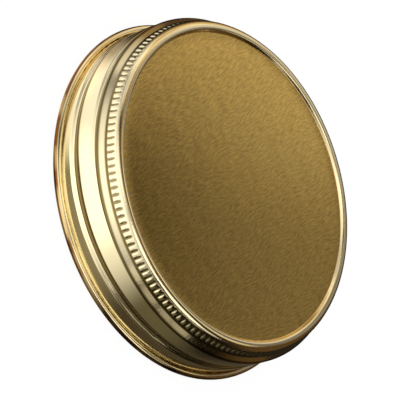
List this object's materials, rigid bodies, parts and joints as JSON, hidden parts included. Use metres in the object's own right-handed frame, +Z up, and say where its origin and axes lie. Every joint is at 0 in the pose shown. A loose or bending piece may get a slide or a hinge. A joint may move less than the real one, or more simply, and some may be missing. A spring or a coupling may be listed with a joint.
{
  "type": "jar lid",
  "caption": "One-piece metal screw lid for a wide-mouth jar: recessed flat panel, raised bead, knurled shoulder, rolled thread, outward curl and a sealing ring inside.",
  "frame": {"origin": "centre of the plane that the curl stands on", "axes": "+Z up along the lid's axis, out of the panel; +X and +Y level, with the thread's groove starting 150 degrees from +X"},
  "size_m": [0.09, 0.09, 0.0186],
  "materials": {
    "lacquered_tinplate": "gold lacquer over bright rolled tinplate, semi-gloss",
    "sealing_compound": "cured sealing compound, satin"
  },
  "bodies": {
    "root": {"shell": "lacquered_tinplate", "sealing_ring": "sealing_compound"}
  },
  "joints": []
}
